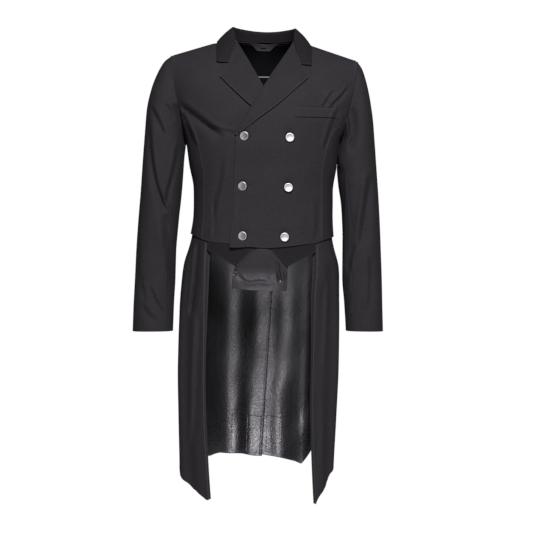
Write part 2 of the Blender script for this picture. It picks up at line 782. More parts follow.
FRONT_FOLDS = [
    # the wearer's right front, from the armhole
    fold(11, 5.2, 0.25, (-194, -154), (-154, -185), (-124, -208), (-84, -236)),
    fold(6, 1.4, 0.3, (-130, -210), (-92, -222), (-50, -230)),
    fold(7, 5.4, 0.3, (-199, -158), (-187, -198), (-175, -250)),
    fold(7, 2.9, 0.5, (-186, -178), (-169, -214), (-150, -262)),
    fold(9, 1.7, 0.5, (-85, -285), (-91, -337), (-104, -388), (-111, -447)),
    fold(6, 1.2, -0.6, (-117, -385), (-112, -429), (-113, -474)),
    fold(1.3, 0.6, 0, (-120, -449), (-90, -449)),
    fold(1.3, 0.6, 0, (-120, -472), (-90, -472)),
    # the wearer's left front
    fold(5, 2.9, -0.6, (193, -112), (174, -138), (160, -152), (149, -168)),
    fold(5, 2.2, -0.6, (157, -124), (142, -148), (131, -166)),
    fold(5, 2.3, 0.4, (175, -187), (178, -201), (185, -224)),
    fold(3.2, 1.6, -0.4, (188, -158), (193, -190), (197, -228)),
    fold(7, 2.5, -0.6, (170, -158), (152, -207), (137, -262)),
    fold(8, 1.5, -0.5, (118, -380), (121, -428), (117, -469)),
    fold(1.3, 0.6, 0, (100, -440), (127, -440)),
    fold(1.3, 0.6, 0, (100, -474), (127, -474)),
    # the pocket's outline
    fold(1.5, 0.9, 0, (66, -170), (90, -170), (140, -167.5), (170, -165.5)),
    fold(1.3, 0.8, 0, (69, -168), (69, -196)),
    fold(1.3, 0.5, 0, (68, -194), (110, -192.5), (168, -189)),
    # the right sleeve: head, elbow and cuff
    fold(8, 3.1, 0.35, (-258, -164), (-235, -203), (-223, -232)),
    fold(7, 2.6, 0.35, (-222, -158), (-210, -179), (-199, -200)),
    fold(8, 5.4, 0.4, (-261, -190), (-252, -286), (-239, -348), (-222, -391), (-213, -408)),
    fold(7, 4.4, -0.4, (-197, -246), (-207, -313), (-220, -366), (-223, -396)),
    fold(14, 5.2, -0.3, (-232, -415), (-223, -470), (-213, -540), (-209, -600)),
    fold(8, 1.8, 0.25, (-281, -400), (-279, -480), (-275, -565)),
    fold(8, 2.7, 0.35, (-249, -580), (-230, -622), (-210, -650)),
    fold(7, 1.6, 0.35, (-269, -574), (-256, -614)),
    fold(8, 2.1, 0.35, (-266, -622), (-246, -649), (-230, -656)),
    fold(7, 1.4, -0.35, (-284, -582), (-264, -568)),
    # the left sleeve
    fold(12, 6.2, -0.4, (242, -312), (236, -365), (230, -409), (222, -480)),
    fold(1.6, 0.6, 0, (194.7, -316), (203, -385), (210, -450)),
    fold(7, 4.1, 0.4, (221, -480), (208, -508), (208, -540)),
    fold(6, 2.7, 0.3, (203, -545), (200, -590)),
    fold(5, 2.2, 0.4, (207, -605), (203, -640)),
    fold(8, 4.4, -0.4, (196, -162), (204, -203), (202, -266)),
    fold(10, 2.4, -0.4, (246, -500), (249, -560), (246, -630)),
    # the tails' front edges
    fold(7, 7.1, -0.12, (-150, -478), (-155, -569), (-164, -650)),
    fold(9, 3.4, -0.4, (-144, -640), (-147, -795), (-153, -955)),
    fold(8, 2.7, 0.4, (152, -560), (151, -650), (146, -760)),
    fold(9, 2.0, 0.5, (141, -820), (148, -900), (144, -1000)),
]
BACK_FOLDS = [
    # across the shoulder blades and at the waist
    fold(12, 3.4, 0.4, (-186, -150), (-150, -176), (-110, -186)),
    fold(11, 3.1, -0.4, (188, -160), (156, -184), (120, -197)),
    fold(10, 2.2, 0.4, (-120, -392), (-80, -404), (-30, -398)),
    fold(9, 1.9, 0.4, (116, -378), (84, -392), (40, -390)),
    fold(10, 1.6, 0.3, (-84, -200), (-108, -262), (-112, -340)),
    fold(10, 1.5, -0.3, (92, -206), (110, -268), (110, -350)),
    fold(12, 1.6, 0.3, (-40, -96), (-86, -112), (-150, -108)),
    # down the sleeves, behind the elbows and above the cuffs
    fold(9, 3.0, 0.4, (-206, -172), (-234, -220), (-250, -286)),
    fold(9, 2.8, -0.4, (208, -168), (236, -214), (252, -276)),
    fold(11, 3.0, 0.3, (-232, -424), (-238, -490), (-246, -566)),
    fold(11, 2.8, -0.3, (236, -416), (243, -484), (250, -556)),
    fold(8, 4.8, 0.4, (-262, -330), (-236, -362), (-208, -372)),
    fold(7, 3.7, 0.4, (-266, -390), (-240, -404), (-214, -402)),
    fold(8, 4.4, -0.4, (258, -320), (230, -350), (202, -358)),
    fold(7, 3.4, -0.4, (262, -372), (238, -396), (208, -400)),
    fold(6, 2.7, 0.5, (-262, -600), (-240, -628), (-222, -640)),
    fold(6, 2.7, -0.5, (262, -596), (240, -620), (222, -628)),
]
RIPPLES = chart(
    "across up phase high",
    (0.061, 0.023, 0.4, 0.32),
    (0.024, -0.051, 2.1, 0.36),
    (-0.043, 0.037, 4.0, 0.26),
    (0.089, -0.071, 1.3, 0.14),
)
DIMPLES = chart(
    "x z deep",
    (-41, -236, 3.2), (-44, -348, 3.2), (-41, -461, 3.4),
    (59.5, -233, 4.2), (58, -344, 4.8), (51.6, -458, 4.2),
)
DIMPLE_WIDE = 10.5
FRONT_Y, BACK_Y = -38, 12
SHOULDER_UP, WAIST_OUT, WAIST_IN, ARMPIT_CLOSE = 4.5, 5.0, 2.5, 7.5
ARMPIT_GAP_Z, ARMPIT_GAP_HALF = -268, 34
HEM_SWAY = chart(
    "x up",
    (-165, 0), (-127, -2.7), (-70, 2.8), (-40, 2.4), (-17, 1.8), (8, 0.5), (42, 1), (90, 0.9), (126, -1.2),
    (158, -1), (165, 0),
)


def settle(points):
    """Bends a grid of points by the folds and by a faint unevenness of the cloth."""
    x, y, z = np.moveaxis(points, -1, 0)
    in_front, behind = smooth(y, BACK_Y, FRONT_Y), smooth(y, -BACK_Y, -FRONT_Y)
    uneven = sum(
        high * np.sin(across * x + up * z + phase) for across, up, phase, high in zip(*RIPPLES.values())
    )
    dimpled = sum(
        deep * np.exp(-((x - middle_x) ** 2 + (z - middle_z) ** 2) / DIMPLE_WIDE**2)
        for middle_x, middle_z, deep in zip(*DIMPLES.values())
    )
    bent = points.copy()
    bent[..., 1] -= in_front * (relief(x, z, FRONT_FOLDS) + uneven - dimpled)
    bent[..., 1] += behind * (relief(x, z, BACK_FOLDS) + uneven)
    beside_gap = smooth(x, 177, 182.5) * smooth(x, 262, 200)
    bent[..., 0] -= ARMPIT_CLOSE * (np.exp(-(((z - ARMPIT_GAP_Z) / ARMPIT_GAP_HALF) ** 4)) * beside_gap)
    bent[..., 2] += SHOULDER_UP * smooth(-x, 95, 125) * smooth(z, -170, -60)
    waist_part = smooth(z, -250, -400) * smooth(z, -620, -500)
    reach = np.clip(np.abs(x) / 160, 0, 1) * smooth(np.abs(x), 192, 186)
    bent[..., 0] += waist_part * reach * np.where(x > 0, WAIST_OUT, WAIST_IN * smooth(z, -470, -420))
    return bent


def swayed(surface):
    """A body sheet whose front hem hangs a little unevenly."""

    def lowered(s, t):
        p = surface(s, t)
        near = smooth(p[..., 2], -385, -455) * smooth(p[..., 1], BACK_Y, FRONT_Y)
        p[..., 2] += near * read(HEM_SWAY, "x", "up", p[..., 0])
        return p

    return lowered


print("folds:", len(FRONT_FOLDS), "in front,", len(BACK_FOLDS), "behind")

# %% [markdown]
# ## Finishes
# The coat has few materials: a matt stretch cloth with a fine twill, a glossy lining that shines like
# thin leather, a satin, a light piping and silvery metal. Each is built from nodes. Patterns that follow
# the weave read the piece's own UV map, which is in metres of cloth; blotches and grain read Object
# coordinates.


# %% Helpers for materials
def new_material(name, **sockets):
    """A principled material, with constant values set on the shader's own sockets."""
    material = bpy.data.materials.new(name)
    material.use_nodes = True
    shader = material.node_tree.nodes["Principled BSDF"]
    for socket, value in sockets.items():
        shader.inputs[socket.replace("_", " ")].default_value = value
    return material, shader


def add_node(material, kind, inputs=(), **settings):
    """A node with its settings. An input is a value, or another node's output to link."""
    tree = material.node_tree
    node = tree.nodes.new("ShaderNode" + kind)
    for name, value in settings.items():
        setattr(node, name, value)
    for name, value in dict(inputs).items():
        if isinstance(value, bpy.types.NodeSocket):
            tree.links.new(value, node.inputs[name])
        else:
            node.inputs[name].default_value = value
    return node


def noise(material, vector, scale, detail=2.0, distortion=0.0):
    inputs = {"Vector": vector, "Scale": scale, "Detail": detail, "Distortion": distortion}
    return add_node(material, "TexNoise", inputs).outputs["Fac"]


def ranged(material, value, low, high, to_low, to_high):
    inputs = {"Value": value, "From Min": low, "From Max": high, "To Min": to_low, "To Max": to_high}
    return add_node(material, "MapRange", inputs).outputs["Result"]


def blended(material, factor, first, second):
    inputs = {"Factor": factor, "A": first, "B": second}
    node = add_node(material, "Mix", data_type="RGBA")
    for name, value in inputs.items():
        socket = next(s for s in node.inputs if s.name == name and s.enabled)
        if isinstance(value, bpy.types.NodeSocket):
            material.node_tree.links.new(value, socket)
        else:
            socket.default_value = value
    return next(s for s in node.outputs if s.enabled)


def bumped(material, height, distance, strength=1.0, below=None):
    inputs = {"Height": height, "Distance": distance, "Strength": strength}
    if below is not None:
        inputs["Normal"] = below
    return add_node(material, "Bump", inputs).outputs["Normal"]


def finish_with(material, shader, **links):
    for socket, output in links.items():
        material.node_tree.links.new(output, shader.inputs[socket.replace("_", " ")])
    return material


def grey(value):
    """A near-black with a breath of violet, as dyed cloth has."""
    return (value, value * 0.87, value * 1.06, 1)


# %% [markdown]
# The shell cloth is matt. Its twill is finer than a millimetre, so it only shows close by; what shows
# from afar is a slight unevenness of the dye, and pressed edges that catch the light where the nap is
# flattened.


# %% Shell cloth
def make_shell(name, tone, edge_gain, gloss, edge_wide=3.2, edge_tone=2.0):
    material, shader = new_material(name, Sheen_Weight=0.01, Sheen_Roughness=0.4, Specular_IOR_Level=gloss)
    places = add_node(material, "TexCoord")
    weave, place = places.outputs["UV"], places.outputs["Object"]
    twill = add_node(
        material,
        "TexWave",
        {"Vector": weave, "Scale": 1050.0, "Distortion": 1.5, "Detail": 1.0},
        wave_type="BANDS",
        bands_direction="DIAGONAL",
    ).outputs["Fac"]
    fuzz = noise(material, place, 1500.0, 3.0)
    dye = noise(material, place, 26.0, 4.0)
    slub = noise(material, place, 210.0, 3.0)
    base = blended(material, dye, grey(tone * 0.84), grey(tone * 1.12))
    base = blended(material, ranged(material, slub, 0.35, 0.65, 0, 0.5), base, grey(tone * 1.4))
    rim = add_node(material, "Attribute", attribute_name="rim").outputs["Fac"]
    pressed = ranged(material, rim, 0.5, edge_wide, edge_gain, 0.0)
    base = blended(material, pressed, base, grey(tone * edge_tone))
    rough = ranged(material, fuzz, 0.3, 0.7, 0.74, 0.9)
    normal = bumped(material, twill, 0.00006, 0.5)
    normal = bumped(material, fuzz, 0.00012, 0.45, normal)
    normal = bumped(material, slub, 0.0002, 0.25, normal)
    return finish_with(material, shader, Base_Color=base, Roughness=rough, Normal=normal)


SHELL = make_shell("shell_cloth", 0.032, 0.4, 0.2)
CROSS_SHELL = make_shell("cross_cloth", 0.028, 0.4, 0.2)
LAPEL_SHELL = make_shell("lapel_cloth", 0.028, 1.0, 0.2, 4.0, 2.8)
EDGED_SHELL = make_shell("edged_cloth", 0.031, 0.9, 0.2, 3.8, 2.3)
SLEEVE_SHELL = make_shell("sleeve_cloth", 0.028, 0.1, 0.2)
COLLAR_SHELL = make_shell("collar_cloth", 0.017, 0.5, 0.16, 4.0, 2.6)
print("shell materials made")

# %% [markdown]
# The lining is glossy. A leather-like grain breaks its highlights up, and soft creases a centimetre wide
# make them run unevenly down the flutes. Higher up it's a little duller. The satin has long threads, so
# its gloss is stretched across them.


# %% Linings, piping, label and metal
def make_gloss(name, tone, rough_low, rough_high, crease, grained, gloss=0.62, ior=1.5, matt=None):
    violet = (1, 0.96, 1.04, 1)
    material, shader = new_material(name, Specular_IOR_Level=gloss, IOR=ior, Specular_Tint=violet)
    places = add_node(material, "TexCoord")
    place, weave = places.outputs["Object"], places.outputs["UV"]
    grain = noise(material, place, 230.0, 3.0)
    stretched = add_node(material, "Mapping", {"Vector": weave, "Scale": (1.0, 0.5, 1.0)}).outputs["Vector"]
    creases = noise(material, stretched, 48.0, 4.0, 0.8)
    blotch = noise(material, place, 30.0, 3.0)
    base = blended(material, blotch, grey(tone * 0.8), grey(tone * 1.2))
    rough = ranged(material, grain, 0.3, 0.7, rough_low, rough_high)
    if matt:
        height = add_node(material, "SeparateXYZ", {"Vector": place}).outputs["Z"]
        dull = ranged(material, height, matt[0], matt[1], 0, matt[2])
        rough = add_node(material, "Math", {0: rough, 1: dull}, operation="ADD").outputs["Value"]
    normal = bumped(material, creases, crease, 0.6)
    normal = bumped(material, grain, grained, 0.8, normal)
    return finish_with(material, shader, Base_Color=base, Roughness=rough, Normal=normal)


GLOSS = make_gloss("gloss_lining", 0.006, 0.25, 0.35, 0.001, 0.00042, ior=1.8, matt=(-0.94, -0.62, 0.15))
SATIN = make_gloss("satin_lining", 0.021, 0.34, 0.42, 0.0005, 0.0003, matt=(-0.551, -0.534, 0.46))
INNER = make_gloss("inner_lining", 0.0045, 0.75, 0.9, 0.0004, 0.0004, gloss=0.08)


def make_thread(name, tone, rough):
    material, shader = new_material(name, Roughness=rough, Specular_IOR_Level=0.35)
    place = add_node(material, "TexCoord").outputs["Object"]
    twist = noise(material, place, 1900.0, 2.0)
    base = blended(material, twist, grey(tone * 0.75), grey(tone * 1.25))
    return finish_with(material, shader, Base_Color=base, Normal=bumped(material, twist, 0.0001, 0.6))


THREAD = make_thread("sewing_thread", 0.03, 0.65)
PIPING_CLOTH = make_thread("piping_cloth", 0.4, 0.5)
LABEL_CLOTH = make_thread("label_cloth", 0.085, 0.5)


def make_metal(name):
    material, shader = new_material(name, Metallic=1.0)
    place = add_node(material, "TexCoord").outputs["Object"]
    tarnish = noise(material, place, 420.0, 4.0)
    scratch = noise(material, place, 2600.0, 2.0)
    hollow = add_node(material, "Attribute", attribute_name="hollow").outputs["Fac"]
    bright = blended(material, tarnish, (0.5, 0.496, 0.5, 1), (0.58, 0.576, 0.58, 1))
    dull = blended(material, tarnish, (0.44, 0.436, 0.44, 1), (0.52, 0.516, 0.52, 1))
    base = blended(material, hollow, bright, dull)
    foot = add_node(material, "Attribute", attribute_name="foot").outputs["Fac"]
    base = blended(material, foot, base, grey(0.006))
    rough = ranged(material, tarnish, 0.3, 0.7, 0.42, 0.48)
    normal = bumped(material, scratch, 0.00002, 0.3)
    return finish_with(material, shader, Base_Color=base, Roughness=rough, Normal=normal)


METAL = make_metal("button_metal")
print("materials:", len(bpy.data.materials))

# %% [markdown]
# ## Making a sheet
# A sheet starts as a flat grid from bmesh, as a bolt of cloth is flat. Its columns and rows are then laid
# on their surface, bent by the folds, and a Solidify and a Bevel modifier give it a thickness and soft
# rims. Grid lines run closer together beside a sewn edge: there the cloth swells over its turned-in layer
# and dips at the stitches. How far each point lies from the rim is kept as an attribute, for the pressed
# edges.

# %% Sheets of cloth
CLOSE_LINES = (0.25, 0.7, 1.5, 2.6, 3.6, 4.5, 5.4, 6.8)
ROLL_DEEP, ROLL_WIDE = 1.5, 2.2
STITCH_IN, STITCH_PITCH, CLOSE_IN, CLOSE_PITCH = 4.5, 3.0, 1.6, 2.4
SEWN_ZONE = 8
EDGES = ("start", "end", "foot", "head")
HEAD_ROLL, HEAD_DIVE, HEAD_OVER = 1.1, 1.7, 1.1
PANELS = {}


def grid_lines(length, step, at_start, at_end, also=()):
    """Shares of a length at which grid lines lie, closer together at its sewn and seamed ends."""
    low = SEWN_ZONE / length if at_start else 0
    high = 1 - SEWN_ZONE / length if at_end else 1
    even = np.linspace(low, high, max(2, round((high - low) * length / step)) + 1)
    close = np.array([0, *CLOSE_LINES]) / length
    parts = [even, close if at_start else [], 1 - close if at_end else [], also]
    return np.unique(np.concatenate(parts).round(6))


def runs(grid):
    """Distances along a grid from its first column and from its first row."""
    across = np.linalg.norm(np.diff(grid, axis=1), axis=-1).cumsum(1)
    up = np.linalg.norm(np.diff(grid, axis=0), axis=-1).cumsum(0)
    return np.pad(across, ((0, 0), (1, 0))), np.pad(up, ((1, 0), (0, 0)))


def outward(grid):
    return unit(np.cross(np.gradient(grid, axis=1), np.gradient(grid, axis=0)))


def pulled_in(grid, by=SEAM / 2):
    """Leaves half a seam's clearance along the rim."""
    grid = grid.copy()
    grid[:, 0] += by * unit(grid[:, 1] - grid[:, 0])
    grid[:, -1] += by * unit(grid[:, -2] - grid[:, -1])
    grid[0] += by * unit(grid[1] - grid[0])
    grid[-1] += by * unit(grid[-2] - grid[-1])
    return grid


def edge_distances(grid):
    run, rise = runs(grid)
    return {"start": run, "end": run[:, -1:] - run, "foot": rise, "head": rise[-1:] - rise}


def sewn_relief(far, along):
    """The swelling over a turned-in edge, the dip at its stitches, their faint pucker and the rolled rim."""
    swell = 0.3 * np.exp(-(((far - 2.1) / 1.6) ** 2)) - 0.36 * np.exp(-(((far - STITCH_IN) / 0.8) ** 2))
    pucker = 0.16 * np.exp(-((far / 10) ** 2)) * np.sin(along / 2.4 + 1.7 * np.sin(along / 11))
    roll = ROLL_DEEP * (1 - np.sqrt(1 - np.clip(1 - far / ROLL_WIDE, 0, 1) ** 2))
    return swell + pucker - roll


def seam_relief(far):
    """The valley in which two sheets meet, and the soft ridge of the allowance beneath."""
    return 0.4 * np.exp(-(((far - 3.2) / 1.6) ** 2)) - 0.4 * np.exp(-((far / 1.2) ** 2))


def head_relief(far):
    """A sleeve's head dives under the body's rim after a soft roll over its allowance."""
    return HEAD_ROLL * np.exp(-(((far - 5) / 2.6) ** 2)) - HEAD_DIVE * smooth(far, 2.4, 0)


# The piping and the hanger's loop are narrower than that, so they're declared larger than they are. Their
# real size is printed.
LEAST_SIDE, LEAST_SHARE = 0.01, 0.31


def cut_size(grid):
    """Real width, length and area of the flat cut, in metres."""
    run, rise = runs(grid)
    across, up = np.diff(grid, axis=1)[:-1], np.diff(grid, axis=0)[:, :-1]
    area = np.linalg.norm(np.cross(across, up), axis=-1).sum() * MM**2
    return run[:, -1].max() * MM, rise[-1].max() * MM, area


def declared_size(wide, high, area):
    wide, high = max(wide, LEAST_SIDE), max(high, LEAST_SIDE)
    return wide, high, max(area, LEAST_SHARE * wide * high)


def size_text(wide, high, area):
    return f"{wide * 1000:.1f} x {high * 1000:.1f} mm, {area * 1e4:.1f} cm2"


def sheet_object(name, grid, thick, material, soft_rim):
    rows, columns = grid.shape[:2]
    bm = bmesh.new()
    bmesh.ops.create_grid(bm, x_segments=columns - 1, y_segments=rows - 1, size=0.5)
    mesh = bpy.data.meshes.new(name)
    bm.to_mesh(mesh)
    bm.free()
    mesh.vertices.foreach_set("co", (grid * MM).ravel())
    far = edge_distances(grid)
    rim = np.minimum.reduce(list(far.values()))
    mesh.attributes.new("rim", "FLOAT", "POINT").data.foreach_set("value", rim.ravel())
    flat = np.stack([far["start"], far["foot"]], -1).reshape(-1, 2) * MM
    corners = np.zeros(len(mesh.loops), int)
    mesh.loops.foreach_get("vertex_index", corners)
    mesh.uv_layers.new(name="cloth").data.foreach_set("uv", flat[corners].ravel())
    mesh.materials.append(material)
    mesh.shade_smooth()
    piece = bpy.data.objects.new(name, mesh)
    bpy.context.scene.collection.objects.link(piece)
    wall = piece.modifiers.new("wall", "SOLIDIFY")
    wall.thickness, wall.offset = thick * MM, -1
    bevel = piece.modifiers.new("soft rim", "BEVEL")
    bevel.width, bevel.segments, bevel.angle_limit = soft_rim * MM, 2, math.radians(50)
    return piece


def cloth(
    node, surface, material, slot, step=4.0, thick=CLOTH,
    sewn=(), seamed=(), across=(0, 1), up=(0, 1), columns=(), tucked=False,
):
    """Makes the sheet that stands for a node. across and up are the shares of the surface that it takes."""
    probe = surface(*np.meshgrid(np.linspace(*across, 15), np.linspace(*up, 15)))
    wide, high = [r.max() for r in runs(probe)]
    start, end, foot, head = [edge in sewn or edge in seamed for edge in EDGES]
    foot = foot or tucked
    s = lerp(*across, grid_lines(wide, step, start, end, columns))
    t = lerp(*up, grid_lines(high, step, foot, head))
    grid = pulled_in(settle(surface(*np.meshgrid(s, t))))
    far = edge_distances(grid)
    lift = np.zeros(grid.shape[:2])
    for edge in sewn:
        lift += sewn_relief(far[edge], far["foot" if edge in ("start", "end") else "start"])
    for edge in seamed:
        lift += seam_relief(far[edge])
    if tucked:
        lift += head_relief(far["foot"])
        grid[0] -= HEAD_OVER * unit(grid[1] - grid[0])
    grid += outward(grid) * lift[..., None]
    PANELS[node] = {"grid": grid, "out": outward(grid), "far": far, "sewn": sewn}
    piece = sheet_object(node + "_cloth", grid, thick, material, min(0.5, thick * 0.3))
    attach(piece, "root")
    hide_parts(node)
    real = cut_size(grid)
    wide, high, area = declared_size(*real)
    print(f"{node}: {size_text(*real)}, {grid[..., 0].size} points")
    if real != (wide, high, area):
        print("  declared as", size_text(wide, high, area))
    return piece


FLIPPED = {"start": "end", "end": "start"}


def for_hand(side, surface, **settings):
    """A surface and its settings drawn for the wearer's left, as they are for this side."""
    if side > 0:
        return {"surface": surface, **settings}
    flipped = dict(settings, surface=mirrored(surface))
    for kind in ("sewn", "seamed"):
        flipped[kind] = tuple(FLIPPED.get(edge, edge) for edge in settings.get(kind, ()))
    if "across" in settings:
        flipped["across"] = tuple(1 - share for share in settings["across"][::-1])
    if "columns" in settings:
        flipped["columns"] = [1 - share for share in settings["columns"]]
    return flipped


HANDS = {"left": 1, "right": -1}

# %% [markdown]
# ## The body
# Fronts, sides and backs are cut from the shell cloth. Their hems and front edges are topstitched; the
# seams between them aren't, so there the rims just meet.

# %% Fronts, sides and backs
shared = {"material": EDGED_SHELL, "slot": "shell_cloth", "step": 3.3}
cloth("front_left", swayed(front_left), **shared, sewn=("start", "foot"), seamed=("end",))
right_front = swayed(mirrored(front_surface))
cloth("front_right", right_front, **shared, sewn=("end", "foot"), seamed=("start",))
for hand, side in HANDS.items():
    under_arm = for_hand(side, side_surface, sewn=("foot",), seamed=("start", "end"))
    under_arm["surface"] = swayed(under_arm["surface"])
    cloth(f"side_{hand}", **under_arm, material=CROSS_SHELL, slot="shell_cloth")
    half = (0, 0.5) if side > 0 else (0.5, 1)
    back = {"across": half, "sewn": ("foot",), "seamed": ("start", "end", "head")}
    cloth(f"back_{hand}", both_backs, SHELL, "shell_cloth", 5.5, **back)

# %% [markdown]
# The lapels and the collar are a little darker than the body, because their nap lies another way. The
# lapels roll from the break up; on the left front the lapel lies on the overlapping cloth, so it's placed
# on that.

# %% Lapels and collar
for hand, side in HANDS.items():
    lapel = lapel_on(on_left_front if side > 0 else on_form)
    columns = list(np.linspace(0, FOLD_SHARE, 9))
    settings = for_hand(side, lapel, sewn=("end",), columns=columns)
    cloth(f"lapel_{hand}", **settings, material=LAPEL_SHELL, slot="shell_cloth", step=2.8)


def collar_surface(s, t):
    """The fall with its rows set closer where it rolls over."""
    return fall_surface(s, np.interp(t, [0, 0.72, 1], [0, COLLAR_FOLD, 1]))


cloth("collar", collar_surface, COLLAR_SHELL, "shell_cloth", 2.9, sewn=("start", "end", "foot"))
cloth("collar_stand", stand_surface, COLLAR_SHELL, "shell_cloth", 3.0)

# %% [markdown]
# Each sleeve has a top and an under piece. Their seams run down the front and the back of the inner arm.

# %% Sleeves
for hand, side in HANDS.items():
    top = sleeve_surface(hand, UNDER_TO - 360, UNDER_FROM)
    under = sleeve_surface(hand, UNDER_FROM, UNDER_TO)
    shared = {"material": SLEEVE_SHELL, "slot": "shell_cloth"}
    edges = {"sewn": ("head",), "seamed": ("start", "end"), "tucked": True}
    cloth(f"sleeve_top_{hand}", **for_hand(side, top, **edges), **shared, step=4.0)
    cloth(f"sleeve_under_{hand}", **for_hand(side, under, **edges), **shared, step=5.2)

# %% [markdown]
# ## Tails and their lining
# The tails' edges are faced with the shell cloth, and behind the facing the lining begins. At the hem
# small patches of lining hold the weights that keep the tails down.

# %% Tails, facings, linings and patches
FACING_UNDER, FACING_DEEP, FACING_BACK = 3.0, 2.0, 4
PATCH_ROW, PATCH_FOOT, PATCH_TOP = 0.18, 0.012, -894
PATCHES = {
    "left": {"weight_patch_left": (58, 22)},
    "right": {"weight_patch_right_1": (61, 23), "weight_patch_right_2": (23, -10)},
}


def facing_surface(side):
    def surface(s, t):
        foot = hem_z(edge_turn(TAIL_FOOT_Z), side) + 1
        z = lerp(foot, WAIST_SIDE_Z - 20, t)
        p = tail_point(edge_turn(z), z, side, -(CLOTH + FACING_DEEP))
        wide = lerp(3.5, 9, smooth(z, -760, -520))
        p[..., 0] += FACING_UNDER - (FACING_UNDER + wide) * (1 - s)
        p[..., 1] += FACING_BACK * (1 - s) ** 1.5 - 0.9 * FACING_UNDER * s
        return p

    return surface


def back_share(side, x):
    """Share of a tail's back at a place across it, at the patches' height."""
    end = across_turn(vent_at(side, PATCH_TOP), PATCH_TOP)
    return float((across_turn(x, PATCH_TOP) - SIDE_BACK_TURN) / (end - SIDE_BACK_TURN))


for hand, side in HANDS.items():
    outer = {"material": SHELL, "slot": "shell_cloth", "step": 4.6}
    inner = {"material": GLOSS, "slot": "gloss_lining", "thick": LINING, "step": 4.4}
    edges = {"sewn": ("start", "foot"), "seamed": ("end",)}
    edged = outer | {"material": EDGED_SHELL}
    cloth(f"tail_side_{hand}", **for_hand(side, tail_side(side), **edges), **edged)
    edges = {"sewn": ("end", "foot"), "seamed": ("start",)}
    cloth(f"tail_back_{hand}", **for_hand(side, tail_back(side), **edges), **outer)
    faced = edged | {"thick": LINING, "step": 2.6}
    cloth(f"tail_facing_{hand}", **for_hand(side, facing_surface(side)), **faced)
    cloth(f"side_lining_{hand}", **for_hand(side, tail_side(side, LINED), across=(0.06, 1)), **inner)
    cloth(f"tail_lining_{hand}", **for_hand(side, tail_back(side, LINED), sewn=("end",)), **inner)
    patch = tail_back(side, LINED - LINING - 0.6)
    for node, (outer_x, vent_x) in PATCHES[hand].items():
        share = (back_share(side, outer_x), back_share(side, vent_x))
        settings = for_hand(side, patch, across=share)
        rows = (PATCH_FOOT, PATCH_ROW)
        cloth(node, **settings, **inner | {"thick": LINING / 2, "step": 2.6}, up=rows)

# %% [markdown]
# ## Below the front hem
# Two waistcoat points peep out under the hem, and between them hangs a satin flap whose foot is turned up
# into a soft pouch. Its gathers are small folds of its own, so they're drawn on the flap alone.

# %% Waistcoat points and flap
POINT_OUTER, POINT_TIP, POINT_INNER = 124, 60, 17
POINT_OUTER_Z, POINT_TIP_Z, POINT_INNER_Z, POINT_UP = -497, -532, -489, 12
POINT_IN, FLAP_IN = CLOTH + 0.6, 2 * CLOTH + 1.4
FLAP_FROM, FLAP_TO, FLAP_BOTTOM, FLAP_SPREAD = -58, 62, -584, 6
FLAP_FALL = chart("z back", (-587, 12), (-568, 9.6), (-562, 8.6), (-530, 2.4), (-500, 0), (-470, 0))


def point_surface(inner):
    def surface(s, t):
        share = (POINT_OUTER - POINT_TIP) / (POINT_OUTER - inner)
        outside = lerp(POINT_OUTER_Z, POINT_TIP_Z, (1 - s) / share)
        inside = lerp(POINT_TIP_Z, POINT_INNER_Z, (1 - s - share) / (1 - share))
        x = lerp(inner, POINT_OUTER, s)
        low = np.where(1 - s < share, outside, inside)
        return on_form(x, lerp(low, waist(x, False) + POINT_UP, t), -POINT_IN)

    return surface


for hand, side in HANDS.items():
    inner_x = POINT_INNER + 4 * side
    tip = (POINT_TIP - inner_x) / (POINT_OUTER - inner_x)
    settings = for_hand(side, point_surface(inner_x), columns=[tip])
    cloth(f"waistcoat_point_{hand}", **settings, material=COLLAR_SHELL, slot="shell_cloth", step=2.6)

FLAP_FOLDS = [
    fold(5.5, 0.65, 0.15, (-52, -538), (-41, -559), (-25, -568), (-2, -562), (16, -565), (30, -573)),
    fold(11, 0.7, 0, (26, -508), (25, -540), (28, -574)),
    fold(4.5, 2.3, 0.3, (41, -517), (45, -542), (51, -566)),
    fold(1.4, -0.6, 0, (50, -530), (57, -545)),
    fold(1.4, -0.6, 0, (49, -562), (59, -553)),
    fold(1.8, 0.9, 0.6, (60, -538), (55, -548), (60, -562)),
    fold(1.7, 1.7, 0.5, (-61, -527), (-53, -530)),
    fold(1.7, 1.7, 0.5, (-61, -538), (-53, -541)),
    fold(1.7, 1.5, 0.5, (-62, -548), (-54, -550)),
]


def flap_bulge(x, z):
    """How far the flap comes forward between the two points, where nothing lies on it."""
    between = POINT_INNER + POINT_INNER_Z - z - np.abs(x - 4)
    return (2.4 * smooth(z, -480, -487) + 2.8 * smooth(z, -490, -496)) * smooth(between, 2, 12)


def flap_surface(s, t):
    spread = FLAP_SPREAD * smooth(t, 0.6, 0.1)
    x = lerp(FLAP_FROM - spread, FLAP_TO, s)
    z = lerp(FLAP_BOTTOM - 3.5 * smooth(s, 0, 0.4), waist(x, False) + POINT_UP, t)
    p = on_form(x, z, -FLAP_IN)
    back = read(FLAP_FALL, "z", "back", z) - flap_bulge(x, z)
    p[..., 1] += back - relief(p[..., 0], p[..., 2], FLAP_FOLDS)
    return p


cloth("under_flap", flap_surface, SATIN, "satin_lining", 1.8, thick=LINING)

# %% [markdown]
# ## Pocket, and what shows inside the neck
# The breast pocket is a plain welt on the left front. Through the neck one sees the lining of the back
# with a light piping across it, a woven label, which is left blank, and the loop for hanging the coat up.

